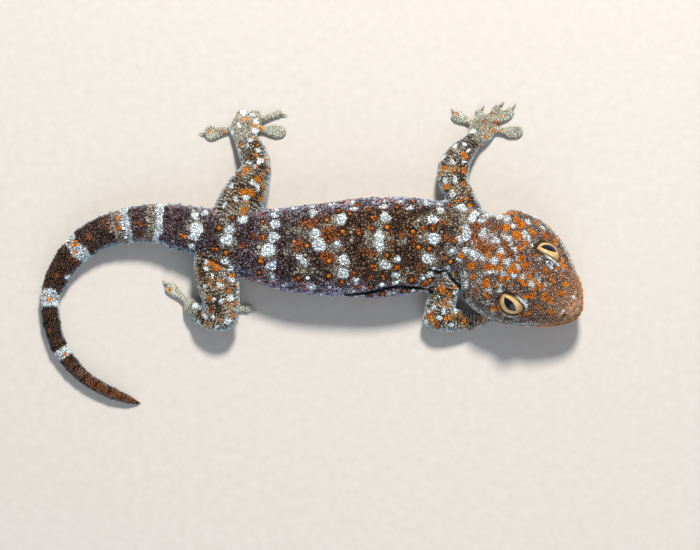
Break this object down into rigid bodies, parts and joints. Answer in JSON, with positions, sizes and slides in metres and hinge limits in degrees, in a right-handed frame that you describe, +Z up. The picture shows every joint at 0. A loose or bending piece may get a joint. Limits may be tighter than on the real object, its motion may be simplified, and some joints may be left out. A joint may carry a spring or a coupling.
{
  "type": "tokay gecko model",
  "caption": "Life-size still model of a spotted gecko lying flat with its tail curled round, to stand on a shelf or a display floor.",
  "frame": {"origin": "centre of the plan on the floor beneath the animal", "axes": "+X towards the head end, +Y towards the animal's left side, +Z up"},
  "size_m": [0.2048, 0.1162, 0.0253],
  "materials": {
    "skin_head": "fine granular scales, brown-grey with orange and pale spots, satin",
    "skin_body": "fine granular scales with larger tubercles, dark brown-grey with pale blue and rust spots, satin",
    "skin_tail": "scales in whorls, dark brown with pale bands, satin",
    "skin_legs": "granular scales, brown and cream with rust patches, satin",
    "skin_feet": "pale granular scales, soft pads",
    "eye": "glossy, gold iris with a dark slit pupil"
  },
  "bodies": {
    "root": {"head": "skin_head", "neck": "skin_body", "torso": "skin_body", "tail_base": "skin_tail", "tail_middle": "skin_tail", "tail_end": "skin_tail", "tail_tip": "skin_tail", "leg_fore_left": "skin_legs", "leg_fore_right": "skin_legs", "leg_hind_left": "skin_legs", "leg_hind_right": "skin_legs", "foot_fore_left": "skin_feet", "foot_fore_right": "skin_feet", "foot_hind_left": "skin_feet", "foot_hind_right": "skin_feet", "eye_left": "eye", "eye_right": "eye"}
  },
  "joints": []
}
